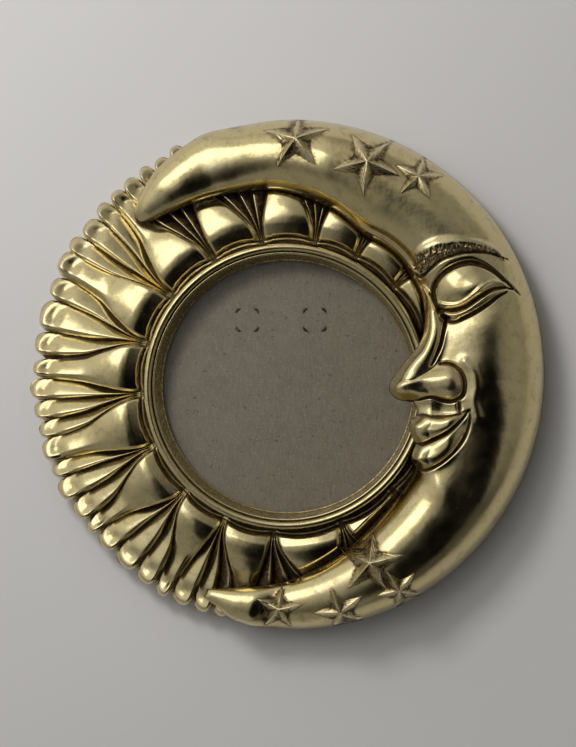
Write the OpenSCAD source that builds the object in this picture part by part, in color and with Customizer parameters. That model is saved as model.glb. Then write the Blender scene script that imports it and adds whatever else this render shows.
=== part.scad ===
// A round celestial picture frame that lies on its back: a ring of sun rays and a crescent moon
// with a face in profile round a glazed opening, and a folding easel leg behind the board.
// +Z is the way the picture faces, +Y is the picture's top. The origin is the centre of the
// outline, on the plane that the back rests on.

/* [Overall] */
// Diameter of the circle that the ray tips and the moon reach
outline_d = 190; // [170:1:230]
// How far the opening's centre lies below the outline's centre
opening_drop = 4.4; // [0:0.2:6]

/* [Glazing] */
// Diameter of the glass and of the backing board
glazing_d = 100; // [90:0.2:110]
// Clearance round the glass and the board in their rabbet
glazing_gap = 0.4; // [0.2:0.1:1]
// Width of glass that the bezel's lip covers
lip_w = 4.2; // [3:0.2:7]
// Thickness of the glass
glass_t = 2; // [1.5:0.1:3]
// Thickness of the backing board
board_t = 2.5; // [2:0.1:4]
// Thickness of the velvet on the board's back
velvet_t = 0.4; // [0.2:0.1:1]

/* [Bezel] */
// Thickness of the bezel's wall outside the glass
bezel_wall = 1.6; // [1.2:0.1:3]
// Height of the bezel's beads above the glass
bezel_rise = 9; // [6:0.5:12]
// Thickness of the bezel's flange
flange_t = 3; // [2:0.5:5]

/* [Base ring] */
// Thickness of the base ring
base_h = 6; // [6:0.5:9]
// How far the ray tips and the moon overhang the base ring
base_inset = 5; // [4:0.5:9]
// Room for the turn buttons, from the rabbet out to the well's wall
button_room = 10; // [9:0.5:14]

/* [Sun] */
// Height of the rolled rays above the base ring
ray_h = 11; // [9:0.5:14]
// Height of the ray tips above the base ring
tip_h = 3; // [2:0.5:5]
// Depth of the notches between the ray tips
notch_depth = 4; // [2:0.5:6]
// Height that the rays come up to under the moon, above the base ring
tuck_h = 6; // [4.5:0.5:7]

/* [Moon] */
// Height of the moon's ridge above its lower face
moon_h = 23; // [20:0.5:28]
// Height of the stars' points above the moon
star_h = 1.8; // [1:0.1:3]
// How deep the stars are let into the moon
star_depth = 1.2; // [0.6:0.1:2]

/* [Easel leg] */
// Sideways place of the leg's centre line
leg_x = -2.5; // [-8:0.5:8]
// Height of the hinge's axis above the outline's centre
hinge_y = 8; // [4:0.5:14]
// Distance from the hinge's axis to the leg's foot
leg_l = 99; // [85:1:102]
// Width of the leg's foot
foot_w = 30; // [20:1:36]
// Thickness of the leg
leg_t = 2.4; // [2:0.1:3]
// Thickness of the hinge's metal
hinge_t = 0.8; // [0.5:0.1:1]
// Radius of the hinge pin
pin_r = 0.8; // [0.6:0.1:1.2]
// Distance between the hinge's two rivets
rivet_pitch = 25; // [18:1:30]
// Height of the rivets above the hinge's axis
rivet_rise = 12; // [9:0.5:14]

/* [Turn buttons] */
// Distance from a button's pivot to its tip
button_l = 10; // [8:0.5:12]
// Radius of a button's pivot end
button_r = 3.4; // [2.6:0.1:4]
// Thickness of a button
button_t = 0.8; // [0.6:0.1:1.2]

/* [Screws] */
// Radius of the screws' shanks
screw_r = 1.5; // [1:0.1:2]
// Radius of the screws' heads
head_r = 2.6; // [2:0.1:3.5]
// Height of the screws' heads
head_h = 1.6; // [1:0.1:2]

/* [Fits] */
// Running clearance between a shaft and its hole
run_gap = 0.05; // [0.02:0.01:0.1]
// Clearance between parts that must not touch
air_gap = 0.3; // [0.2:0.1:1]

/* [Hidden] */
$fn = 64;

// The middle of the opening, which the bezel, the rays and the moon are set out from.
opening = [0, -opening_drop, 0];
outline_r = outline_d / 2;
size_k = outline_d / 190;
rabbet_r = glazing_d / 2 + glazing_gap;
sight_r = rabbet_r - lip_w;
bezel_r = rabbet_r + bezel_wall;
well_r = rabbet_r + button_room;
flange_r = well_r + 6.5;
base_r = outline_r - base_inset;

// Heights of the stack, from the rest plane up.
flange_z = base_h;
velvet_z = flange_z + 0.1;
board_z = velvet_z + velvet_t;
glass_z = board_z + board_t;
lip_z = glass_z + glass_t + 0.1;
bezel_top = lip_z + bezel_rise;
ray_seat_z = flange_z + flange_t;
tuck_z = base_h + tuck_h;
// How far the rays reach in under the moon.
tuck_l = 3;
// Height that rays in the moon's shade are kept down to.
ray_tuck_crest = base_h + ray_h;
moon_over_bezel = bezel_top + 0.5;
// Height of the moon's underside where its two tips cross the rays.
crossing_z = base_h + 7.5;

// Screws: angle from the opening's centre, and distance from it.
BUTTON_ANGLES = [45, 135, 225, 315];
FLANGE_ANGLES = [20, 160, 200, 340];
RAY_SCREW_ANGLES = [128, 160, 200, 232];
MOON_SCREW_ANGLES = [-70, -25, 25, 75];
button_pivot_r = well_r - 5;
flange_screw_r = well_r + 3.4;
ray_screw_r = base_r - 11;
moon_screw_r = base_r - 9;
button_screw_r = 1.25;
button_head_r = 2.4;
bore_gap = 0.1;

// The leg's channel through the base ring.
channel_w = foot_w + 3;
leg_top_w = 18;
leg_start = 4;
knuckle_r = pin_r + 0.9;
plate_z = velvet_z - hinge_t;
pin_z = velvet_z - air_gap - knuckle_r;
leaf_z = pin_z - knuckle_r;
leg_z = leaf_z + hinge_t;
leaf_w = 12;
plate_w = 36;
leaf_l = 20;
rivet_r = 1.6;
rivet_head_r = 3.4;
rivet_head_h = 0.6;
clinch_r = 4.2;
clinch_h = 0.5;

// Where the rays' fans of flutes start, as angles round the opening from the picture's right.
VALLEYS = [21, 43, 62, 79, 100, 120, 142, 163, 183, 204, 226, 245, 265, 292, 316, 338];
// Where the broad rays end. The first and the last only space the fans at the ring's ends.
TIPS = [14, 32, 52, 71, 92, 116, 132, 151, 176, 195, 216, 238, 258, 281, 304, 327, 345];
// Half the angle that a fan takes up where it starts.
fan_start = 0.8;
// Height along a ray from the bezel to its tip, as shares of the way and of the ray's height.
RAY_RISE = [[0, 0.6], [0.07, 0.72], [0.13, 0.64], [0.26, 1], [0.4, 0.96], [0.7, 0.6], [1, 0.25]];
// Columns across a ray and across a fan, in lobes from the ray's middle.
RAY_COLUMNS = [-0.46, -0.25, 0, 0.25, 0.46];
FAN_COLUMNS = [0.5, 0.75, 1.25, 1.5, 1.75, 2.25, 2.5, 2.75, 3.25, 3.5];
STATIONS = [0, 0.07, 0.14, 0.36, 0.55, 0.75, 1];

// The moon's inner edge, as angle and distance from the opening's centre, from its lower tip
// past the lips and the nose to its upper tip.
MOON_INNER = [
    [-111, 80.5], [-104, 76.4], [-95, 73.4], [-85, 70.1], [-71, 64.9], [-54, 59.8], [-44, 58.3],
    [-32, 56.5], [-28, 53.5], [-22, 49.1], [-18, 46.5], [-14, 47.6], [-9, 48.3], [-7.5, 41.7],
    [-5, 37.5], [-1, 36.5], [5, 38.4], [10, 41.3], [15, 45.4], [20, 50.6], [25, 54.2], [30, 57.6],
    [40, 60.1], [55, 63.1], [75, 67.4], [95, 72.7], [112, 75.5], [124, 78.2], [132, 82.3],
    [133.5, 84]];
// How far the moon's outer edge lies inside the outline.
MOON_TAPER = [
    [-111, 9], [-109.5, 5.8], [-106, 3.2], [-102, 1.3], [-90, 0], [20, 0], [50, 0.8], [90, 0.8],
    [113, 1.4], [119, 2.9], [124, 5.2], [128, 8], [132, 11], [133.5, 13]];
// Raised features of the face: x, y, half length, half width, turn in degrees, height.
FEATURES = [
    [52, 31, 16, 4, 5, 2.2], [57, 25, 15, 5, -12, 2], [44, 8, 9, 5, 60, 4], [46, -5, 8, 7, 20, 4.5],
    [54, -17, 11, 4, 10, 3], [53, -29, 10, 4, 25, 2.5], [70, -8, 12, 16, 20, 1.5]];
// The stars: x, y, radius of their points, turn in degrees.
STARS = [
    [3, 88, 11.5, 90], [29, 78.4, 14, 80], [48, 72.7, 9, 70], [-4, -87, 8.5, 100],
    [20, -88.4, 10, 60], [30, -69.5, 13, 80], [42.5, -79.5, 8, 95]];
star_waist = 0.42;
moon_columns = 112;
MOON_STATIONS = [0, 0.05, 0.12, 0.22, 0.35, 0.5, 0.65, 0.78, 0.88, 0.95, 1];

brass = "#b9ac72";
steel = "#a9a9a6";

function clamp(x, low, high) = max(low, min(high, x));

// Distance from the opening's centre to the outline's circle, at angle a.
function outline_at(a) =
    opening_drop * sin(a) + sqrt(pow(outline_r, 2) - pow(opening_drop * cos(a), 2));

function polar(r, a, z) = [r * cos(a), r * sin(a) - opening_drop, z];

// A solid between two sheets of points, each a list of columns of equal length.
module sheet_solid(top, bottom) {
    columns = len(top);
    rows = len(top[0]);
    under = columns * rows;
    points = concat([for (c = top) for (p = c) p], [for (c = bottom) for (p = c) p]);
    function at(i, j) = i * rows + j;
    function quad(a, b, c, d) = [[a, b, c], [a, c, d]];
    faces = concat(
        [for (i = [0:columns - 2]) for (j = [0:rows - 2])
            for (f = quad(at(i, j), at(i, j + 1), at(i + 1, j + 1), at(i + 1, j))) f],
        [for (i = [0:columns - 2]) for (j = [0:rows - 2])
            for (f = quad(under + at(i + 1, j), under + at(i + 1, j + 1),
                          under + at(i, j + 1), under + at(i, j))) f],
        [for (i = [0:columns - 2])
            for (f = quad(at(i + 1, 0), under + at(i + 1, 0), under + at(i, 0), at(i, 0))) f],
        [for (i = [0:columns - 2])
            for (f = quad(at(i, rows - 1), under + at(i, rows - 1),
                          under + at(i + 1, rows - 1), at(i + 1, rows - 1))) f],
        [for (j = [0:rows - 2])
            for (f = quad(at(0, j), under + at(0, j), under + at(0, j + 1), at(0, j + 1))) f],
        [for (j = [0:rows - 2])
            for (f = quad(at(columns - 1, j + 1), under + at(columns - 1, j + 1),
                          under + at(columns - 1, j), at(columns - 1, j))) f]);
    polyhedron(points, faces, convexity = 10);
}

// ---- The sun ----

// Lobe coordinate to angle: i is the fan that follows tip i, and s runs from 0 at that tip to 4
// at the next. At the bezel a fan is all at its valley; at the rim its flutes are spread evenly.
function rim_angle(i, s) = TIPS[i] + (TIPS[i + 1] - TIPS[i]) * s / 4;
function start_angle(i, s) =
    s < 0.5 ? VALLEYS[i - 1] + fan_start
        + (VALLEYS[i] - VALLEYS[i - 1] - 2 * fan_start) * (s + 0.5)
    : VALLEYS[i] - fan_start + 2 * fan_start * (s - 0.5) / 3;
function spread(u) = 1 - pow(1 - clamp((u - 0.13) / 0.7, 0, 1), 1.7);

// How far a point lies across its own lobe, from -1 to 1.
function across(s) = s < 0.5 ? s * 2 : 2 * (s - floor(s + 0.5));

function ray_top(s, u) =
    let (ridge = ray_h * lookup(u, RAY_RISE), x = across(s))
    s < 0.5 ? ridge - 1.2 * x * x
    : ridge - 2.2 * (1 - pow(2 * u - 1, 4)) - 1.6 * pow(abs(x), 3);

// The column ends at its tip where it is in the open, or is tucked under the moon.
function is_tucked(a) = a < 113 || a > 258;
function moon_inner(a) = lookup(a > 180 ? a - 360 : a, MOON_INNER) * size_k;
function ray_start() = bezel_r + 0.5;

// How far out a point lies on its column, from 0 at the bezel to 1 at the outline.
function share(i, s, r) = (r - ray_start()) / (outline_at(rim_angle(i, s)) - ray_start());
function column_angle(i, s, r) =
    start_angle(i, s) + (rim_angle(i, s) - start_angle(i, s)) * spread(share(i, s, r));

function ray_column(i, s) =
    let (
        rim = rim_angle(i, s),
        tucked = is_tucked(rim),
        reach = outline_at(rim),
        notch = notch_depth * pow(abs(across(s)), 3),
        under_moon = moon_inner(column_angle(i, s, moon_inner(rim))),
        shown = tucked ? max(under_moon - 2, ray_start() + 1) : reach - notch - 1.2,
        end = tucked ? max(under_moon + tuck_l, ray_start() + 4) : reach - notch,
        radii = [for (v = STATIONS) ray_start() + (shown - ray_start()) * v],
        last = tucked ? [shown + 0.8, end] : [shown + 0.6, end],
        all = concat(radii, last))
    [for (j = [0:len(all) - 1])
        let (
            r = all[j],
            a = column_angle(i, s, r),
            free = base_h + ray_top(s, share(i, s, r)),
            under_tip = (a > 107 && a < 137 || a > 245) && r > moon_inner(a) - 12 * size_k,
            top = under_tip ? min(free, crossing_z - 0.5) : free,
            z = j < len(STATIONS) ? (tucked ? min(top, ray_tuck_crest) : top)
                : tucked ? min(top, tuck_z)
                : j == len(STATIONS) ? top - 0.4 : base_h + tip_h * 0.6,
            // The underside steps down only past the flange.
            seat = all[max(j - 1, 0)] < flange_r + 2.5 ? ray_seat_z : base_h)
        [polar(r, a, max(z, seat + 1.2)), polar(r, a, seat)]];

module sun_rays() {
    columns = [for (i = [1:len(VALLEYS) - 1])
        for (s = concat(RAY_COLUMNS, FAN_COLUMNS)) ray_column(i, s)];
    color(brass) sheet_solid(
        [for (c = columns) [for (p = c) p[0]]],
        [for (c = columns) [for (p = c) p[1]]]);
}

// ---- The moon ----

function moon_outer(a) = outline_at(a) - lookup(a, MOON_TAPER) * size_k;
function moon_width(a) = moon_outer(a) - moon_inner(a);

function bump(x, y, f) =
    let (
        dx = x - f[0] * size_k,
        dy = y - f[1] * size_k,
        along = (dx * cos(f[4]) + dy * sin(f[4])) / (f[2] * size_k),
        aside = (dy * cos(f[4]) - dx * sin(f[4])) / (f[3] * size_k))
    f[5] * exp(-along * along - aside * aside);
function sum(list, i = 0) = i >= len(list) ? 0 : list[i] + sum(list, i + 1);

// Height of the moon's top at angle a and share t of its width.
function moon_top(a, t) =
    let (
        w = moon_width(a),
        p = polar(moon_inner(a) + w * t, a, 0),
        swell = min(1, w / (30 * size_k)),
        inner_z = max(tuck_z + 2, moon_inner(a) < bezel_r + 2 ? moon_over_bezel + 1.5 : 0),
        edge = (crossing(a) ? crossing_z + 1.5 : inner_z * (1 - t) + (base_h + 2.5) * t),
        ridge = base_h + moon_h * (0.35 + 0.65 * swell) - 6 * (1 - swell),
        round = pow(1 - pow(abs(2 * t - 1), 2.4), 0.6),
        crest = max(edge + 1.5, ridge))
    edge + (crest - edge) * round + round * sum([for (f = FEATURES) bump(p[0], p[1], f)]) * 0.6;

function crossing(a) = a > 107 || a < -98;

// The moon's underside clears the bezel, the tucked rays and the flange, and elsewhere it is
// the seat on the base ring. It looks one station further in, so that no chord cuts a corner.
function moon_under(a, t, step) =
    let (
        r = moon_inner(a) + moon_width(a) * t - step,
        over_rays = r < moon_inner(a) + tuck_l + 2 ? tuck_z + 0.5 : 0,
        over_bezel = r < bezel_r + 0.4 ? moon_over_bezel : 0,
        over_flange = r < flange_r + 0.4 ? ray_seat_z + air_gap : 0)
    crossing(a) ? crossing_z : max(base_h, over_rays, over_bezel, over_flange);

module moon() {
    first = MOON_INNER[0][0];
    last = MOON_INNER[len(MOON_INNER) - 1][0];
    angles = [for (i = [0:moon_columns]) first + (last - first) * i / moon_columns];
    top = [for (a = angles) [for (t = MOON_STATIONS)
        polar(moon_inner(a) + moon_width(a) * t, a, moon_top(a, t))]];
    bottom = [for (a = angles) [for (t = MOON_STATIONS)
        polar(moon_inner(a) + moon_width(a) * t, a, moon_under(a, t, moon_width(a) * 0.15))]];
    color(brass) sheet_solid(top, bottom);
}

// A place in plan drawn onto the moon's top, kept off its outer edge and the bezel, and raised
// by dz.
function on_moon(x, y, dz) =
    let (
        a = atan2(y + opening_drop, x),
        r = clamp(norm([x, y + opening_drop]), bezel_r + 1, moon_outer(a) - 1.4),
        t = clamp((r - moon_inner(a)) / moon_width(a), 0.04, 1))
    polar(r, a, moon_top(a, t) + dz);

// A five-pointed star with a raised middle, let into the moon and bent over its swell.
module star(i) {
    s = STARS[i] * size_k;
    rim = [for (k = [0:9])
        let (q = k % 2 == 0 ? s[2] : s[2] * star_waist, a = STARS[i][3] + 36 * k)
        [s[0] + q * cos(a), s[1] + q * sin(a)]];
    points = concat(
        [for (p = rim) on_moon(p[0], p[1], 0.5)],
        [for (p = rim) on_moon(p[0], p[1], -star_depth)],
        [on_moon(s[0], s[1], star_h), on_moon(s[0], s[1], -star_depth)]);
    faces = concat(
        [for (k = [0:9]) [20, (k + 1) % 10, k]],
        [for (k = [0:9]) [21, 10 + k, 10 + (k + 1) % 10]],
        [for (k = [0:9]) [k, (k + 1) % 10, 10 + (k + 1) % 10]],
        [for (k = [0:9]) [k, 10 + (k + 1) % 10, 10 + k]]);
    color(brass) polyhedron(points, faces);
}

// ---- Ring, bezel and glazing ----

module at_angles(angles, r) {
    for (a = angles) translate(opening) rotate([0, 0, a]) translate([r, 0, 0]) children();
}

// The hole for a screw that comes in from the back of the base ring.
module back_screw_hole() {
    translate([0, 0, -1]) cylinder(r = screw_r + bore_gap, h = base_h + 2);
    translate([0, 0, -1]) cylinder(r = head_r + 0.2, h = head_h + 1.4);
}

module back_screw(top) {
    translate([0, 0, 0.4]) cylinder(r = head_r, h = head_h);
    translate([0, 0, 0.4]) cylinder(r = screw_r, h = top - 0.4);
}

module base_ring() {
    color(brass) difference() {
        cylinder(r = base_r, h = base_h, $fn = 180);
        translate(opening - [0, 0, 1]) cylinder(r = well_r, h = base_h + 2, $fn = 180);
        translate([leg_x - channel_w / 2, -outline_r, -1])
            cube([channel_w, outline_r - opening_drop, base_h + 2]);
        at_angles(FLANGE_ANGLES, flange_screw_r) back_screw_hole();
        at_angles(RAY_SCREW_ANGLES, ray_screw_r) back_screw_hole();
        at_angles(MOON_SCREW_ANGLES, moon_screw_r) back_screw_hole();
    }
}

module bezel_profile() {
    bead = 1.4;
    polygon([
        [rabbet_r, flange_z], [flange_r, flange_z], [flange_r, flange_z + flange_t],
        [bezel_r, flange_z + flange_t], [bezel_r, bezel_top - bead],
        [rabbet_r - 1.8, bezel_top - 2.6], [sight_r, lip_z + 1.1], [sight_r, lip_z],
        [rabbet_r, lip_z]]);
    translate([bezel_r - bead, bezel_top - bead]) circle(r = bead);
    translate([bezel_r - 2.9, bezel_top - 2]) circle(r = 0.8);
}

module bezel_ring() {
    color(brass) difference() {
        translate(opening) rotate_extrude($fn = 180) bezel_profile();
        at_angles(BUTTON_ANGLES, button_pivot_r)
            translate([0, 0, flange_z - 1]) cylinder(r = button_screw_r, h = flange_t + 2);
        at_angles(FLANGE_ANGLES, flange_screw_r)
            translate([0, 0, flange_z - 1]) cylinder(r = screw_r, h = flange_t + 2);
    }
}

module disc(z, h) {
    translate(opening + [0, 0, z]) cylinder(d = glazing_d, h = h, $fn = 180);
}

module glass() {
    color("#cfdcd8", 0.35) disc(glass_z, glass_t);
}

module at_rivet(side) {
    translate([leg_x + side * rivet_pitch / 2, hinge_y + rivet_rise, 0]) children();
}

module rivet_holes(z, h) {
    for (side = [-1, 1]) at_rivet(side) translate([0, 0, z]) cylinder(r = rivet_r, h = h);
}

module backing_board() {
    color("#75706a") difference() {
        disc(board_z, board_t);
        rivet_holes(board_z - 1, board_t + 2);
        for (side = [-1, 1]) at_rivet(side)
            translate([0, 0, glass_z - clinch_h]) cylinder(r = clinch_r, h = 1);
    }
}

module velvet() {
    color("#1d1a1c") difference() {
        disc(velvet_z, velvet_t);
        rivet_holes(velvet_z - 1, velvet_t + 2);
    }
}

// A hollow rivet whose four prongs are clinched over on the front of the board.
module rivet(side) {
    color(steel) at_rivet(side) {
        translate([0, 0, plate_z - rivet_head_h]) cylinder(r = rivet_head_r, h = rivet_head_h);
        translate([0, 0, plate_z - rivet_head_h])
            cylinder(r = rivet_r, h = glass_z - 0.1 - plate_z + rivet_head_h);
        for (a = [45:90:315]) rotate([0, 0, a]) translate([0, -0.9, glass_z - clinch_h])
            cube([clinch_r - 0.4, 1.8, clinch_h - 0.1]);
    }
}

// ---- Hinge and leg ----

module along_x(x0, x1, r) {
    translate([leg_x + x0, hinge_y, pin_z]) rotate([0, 90, 0]) cylinder(r = r, h = x1 - x0);
}

// Half the gap that the leaf's knuckle turns in.
knuckle_gap = leaf_w / 2 + air_gap;

module hinge_plate() {
    color(steel) difference() {
        union() {
            translate([leg_x - plate_w / 2, hinge_y, plate_z])
                cube([plate_w, rivet_rise + 6, hinge_t]);
            along_x(-plate_w / 2, -knuckle_gap, knuckle_r);
            along_x(knuckle_gap, plate_w / 2, knuckle_r);
            for (x = [-plate_w / 2, knuckle_gap]) translate([leg_x + x, hinge_y, pin_z])
                cube([plate_w / 2 - knuckle_gap, knuckle_r, plate_z - pin_z]);
        }
        along_x(-plate_w / 2 - 1, plate_w / 2 + 1, pin_r);
        translate([leg_x - knuckle_gap, hinge_y - 1, plate_z - 1])
            cube([2 * knuckle_gap, knuckle_r + 1.4, hinge_t + 2]);
        rivet_holes(plate_z - 1, hinge_t + 2);
    }
}

module hinge_pin() {
    color(steel) along_x(-plate_w / 2, plate_w / 2, pin_r);
}

LEG_RIVETS = [8, 15];
leg_rivet_r = 1.2;

module leg_leaf() {
    color(steel) difference() {
        union() {
            along_x(-leaf_w / 2, leaf_w / 2, knuckle_r);
            translate([leg_x - leaf_w / 2, hinge_y - leaf_l, leaf_z])
                cube([leaf_w, leaf_l, hinge_t]);
        }
        along_x(-leaf_w / 2 - 1, leaf_w / 2 + 1, pin_r + run_gap);
        leg_rivet_holes();
    }
}

module leg_rivet_holes() {
    for (y = LEG_RIVETS) translate([leg_x, hinge_y - y, leaf_z - 1])
        cylinder(r = leg_rivet_r, h = leg_t + hinge_t + 2);
}

module leg() {
    start = hinge_y - leg_start;
    foot = hinge_y - leg_l;
    color("#1d1a1c") difference() {
        translate([leg_x, 0, leg_z]) linear_extrude(leg_t) polygon([
            [-leg_top_w / 2, start], [-foot_w / 2, foot + 6], [-foot_w / 2 + 3, foot],
            [foot_w / 2 - 3, foot], [foot_w / 2, foot + 6], [leg_top_w / 2, start]]);
        leg_rivet_holes();
    }
}

module leg_rivets() {
    color(steel) for (y = LEG_RIVETS) translate([leg_x, hinge_y - y, 0]) {
        translate([0, 0, leaf_z - rivet_head_h]) cylinder(r = 2.2, h = rivet_head_h);
        translate([0, 0, leaf_z - rivet_head_h])
            cylinder(r = leg_rivet_r, h = leg_z + leg_t - leaf_z + rivet_head_h);
    }
}

// ---- Fasteners ----

module turn_button(i) {
    color(steel) at_angles([BUTTON_ANGLES[i]], button_pivot_r)
        translate([0, 0, flange_z - button_t]) linear_extrude(button_t) difference() {
            union() {
                circle(r = button_r);
                translate([-button_l + 2.4, 0]) circle(r = 2.4);
                polygon([[0, button_r], [-button_l + 2.4, 2.4], [-button_l + 2.4, -2.4],
                    [0, -button_r]]);
            }
            circle(r = button_screw_r + run_gap);
        }
}

module button_screws() {
    color(steel) at_angles(BUTTON_ANGLES, button_pivot_r) {
        translate([0, 0, flange_z - button_t - head_h]) cylinder(r = button_head_r, h = head_h);
        translate([0, 0, flange_z - button_t - head_h])
            cylinder(r = button_screw_r, h = flange_t + button_t + head_h - 0.2);
    }
}

module flange_screws() {
    color(steel) at_angles(FLANGE_ANGLES, flange_screw_r) back_screw(flange_z + flange_t - 0.2);
}

module ray_screws() {
    color(steel) at_angles(RAY_SCREW_ANGLES, ray_screw_r) back_screw(base_h + 3);
}

module moon_screws() {
    color(steel) at_angles(MOON_SCREW_ANGLES, moon_screw_r) back_screw(base_h + 6);
}

base_ring();
bezel_ring();
sun_rays();
moon();
star(0);  // star_1
star(1);  // star_2
star(2);  // star_3
star(3);  // star_4
star(4);  // star_5
star(5);  // star_6
star(6);  // star_7
glass();
backing_board();
velvet();
hinge_plate();
hinge_pin();
rivet(-1);  // rivet_left
rivet(1);  // rivet_right
leg_leaf();
leg();
leg_rivets();
turn_button(0);  // turn_button_1
turn_button(1);  // turn_button_2
turn_button(2);  // turn_button_3
turn_button(3);  // turn_button_4
button_screws();
flange_screws();
ray_screws();
moon_screws();
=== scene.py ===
"""A sun and crescent moon picture frame in antiqued brass, lying face up on a pale floor.

The castings that show (the sun's rays, the moon with its face, the stars and the bezel) are
modelled here as fine meshes over the CAD solids. Lengths are in millimetres until mesh_object
turns them into metres. Polar places are taken round the middle of the glazed opening.
"""

import math

import bpy
import numpy as np
from mathutils import Matrix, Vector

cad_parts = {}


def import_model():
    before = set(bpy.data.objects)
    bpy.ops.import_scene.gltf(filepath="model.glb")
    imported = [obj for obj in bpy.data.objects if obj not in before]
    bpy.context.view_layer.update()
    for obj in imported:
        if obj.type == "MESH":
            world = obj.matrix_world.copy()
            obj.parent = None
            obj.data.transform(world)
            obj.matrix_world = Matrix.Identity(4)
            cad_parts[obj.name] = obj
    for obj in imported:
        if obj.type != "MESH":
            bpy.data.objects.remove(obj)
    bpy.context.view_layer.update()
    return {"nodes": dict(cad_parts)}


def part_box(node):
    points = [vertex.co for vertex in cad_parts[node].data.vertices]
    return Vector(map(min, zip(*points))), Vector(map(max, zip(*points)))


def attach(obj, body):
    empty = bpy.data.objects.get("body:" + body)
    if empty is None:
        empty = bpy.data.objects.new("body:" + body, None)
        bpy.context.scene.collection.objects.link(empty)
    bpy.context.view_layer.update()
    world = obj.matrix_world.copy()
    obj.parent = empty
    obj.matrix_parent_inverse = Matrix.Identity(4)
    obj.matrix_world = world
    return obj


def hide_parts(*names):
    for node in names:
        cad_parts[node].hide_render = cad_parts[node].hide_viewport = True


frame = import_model()
rng = np.random.default_rng(11)

MM = 0.001


def box_mm(node):
    low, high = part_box(node)
    return np.array(low) / MM, np.array(high) / MM


# ---- Sizes that the frame gives ----

glass_low, glass_high = box_mm("glass")
board_low, board_high = box_mm("backing_board")
bezel_low, bezel_high = box_mm("bezel_ring")
base_low, base_high = box_mm("base_ring")

GLASS_R = (glass_high[0] - glass_low[0]) / 2
CENTRE_X = (glass_high[0] + glass_low[0]) / 2
CENTRE_Y = (glass_high[1] + glass_low[1]) / 2
BASE_H = base_high[2]
BASE_R = (base_high[0] - base_low[0]) / 2
FLANGE_R = (bezel_high[0] - bezel_low[0]) / 2
FLANGE_Z = bezel_low[2]
BEZEL_TOP = bezel_high[2]
MOON_TOP = box_mm("moon")[1][2]

GLAZING_GAP = 0.4
BEZEL_WALL = 1.6
LIP_W = 4.2
FLANGE_T = 3.0
BASE_INSET = 5.0
RABBET_R = GLASS_R + GLAZING_GAP
BEZEL_R = RABBET_R + BEZEL_WALL
SIGHT_R = RABBET_R - LIP_W
LIP_Z = glass_high[2] + 0.1
OUTLINE_R = BASE_R + BASE_INSET
SEAT_Z = FLANGE_Z + FLANGE_T


# ---- Camera ----


def add_camera():
    """Looks down from slightly to the picture's right, as far off as a long lens needs."""
    field_h = 276.0
    distance = 700.0
    lean = math.radians(6)
    aim = np.array([0.0, 0.3, 8.0])
    data = bpy.data.cameras.new("camera")
    data.sensor_fit = "VERTICAL"
    data.sensor_height = 36.0
    data.lens = 36.0 * distance / field_h
    data.clip_end = 20.0
    camera = bpy.data.objects.new("camera", data)
    camera.location = (aim + distance * np.array([math.sin(lean), 0, math.cos(lean)])) * MM
    camera.rotation_euler = (0, lean, 0)
    bpy.context.scene.collection.objects.link(camera)
    bpy.context.scene.camera = camera


add_camera()


# ---- Node materials ----


class Nodes:
    """The node tree of a new material or world, with short calls to add to it."""

    def __init__(self, name, kind="Material"):
        library = bpy.data.worlds if kind == "World" else bpy.data.materials
        self.owner = library.new(name)
        self.owner.use_nodes = True
        self.tree = self.owner.node_tree
        self.tree.nodes.clear()
        self.output = self.tree.nodes.new("ShaderNodeOutput" + kind)

    def add(self, kind, **values):
        """A node of that kind. Values are attributes in lower case, or sockets in capitals."""
        node = self.tree.nodes.new("ShaderNode" + kind)
        for key, value in values.items():
            if key[0].islower():
                setattr(node, key, value)
                continue
            self.feed(value, node.inputs[key.replace("_", " ")])
        return node

    def feed(self, value, socket):
        """Links an output to the socket, or sets the socket's own value."""
        if isinstance(value, bpy.types.NodeSocket):
            self.tree.links.new(value, socket)
        else:
            socket.default_value = value

    def place(self):
        return self.add("TexCoord").outputs["Object"]

    def noise(self, scale, detail=3.0, rough=0.55, at=None):
        node = self.add("TexNoise", Scale=scale, Detail=detail, Roughness=rough,
                        Vector=at or self.place())
        return node.outputs["Fac"]

    def remap(self, value, low, high, to_low=0.0, to_high=1.0):
        node = self.add("MapRange", interpolation_type="SMOOTHSTEP", Value=value, From_Min=low,
                        From_Max=high, To_Min=to_low, To_Max=to_high)
        return node.outputs["Result"]

    def math(self, kind, a, b=0.0):
        node = self.add("Math", operation=kind)
        self.feed(a, node.inputs[0])
        self.feed(b, node.inputs[1])
        return node.outputs[0]

    def mix(self, share, a, b):
        """Colour a where share is 0 and colour b where it is 1."""
        node = self.add("Mix", data_type="RGBA")
        for name, kind, value in (("Factor", "VALUE", share), ("A", "RGBA", a), ("B", "RGBA", b)):
            if isinstance(value, tuple):
                value = (*value, 1.0)
            self.feed(value, next(s for s in node.inputs if s.name == name and s.type == kind))
        return next(s for s in node.outputs if s.type == "RGBA")

    def over(self, base, where, share, colour):
        """The base, covered up to that share by a colour where the value is high."""
        return self.mix(self.math("MULTIPLY", where, share), base, colour)

    def bump(self, height, distance):
        return self.add("Bump", Distance=distance * MM, Height=height).outputs["Normal"]

    def towards(self, direction):
        """The cosine between where the world is looked at and a direction."""
        node = self.add("VectorMath", operation="DOT_PRODUCT")
        self.feed(self.add("TexCoord").outputs["Generated"], node.inputs[0])
        self.feed(direction, node.inputs[1])
        return node.outputs["Value"]

    def surface(self, shader):
        self.feed(shader.outputs[0], self.output.inputs["Surface"])
        return self.owner


BRIGHT_BRASS = (0.74, 0.625, 0.325)
PALE_BRASS = (0.78, 0.69, 0.45)


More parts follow.
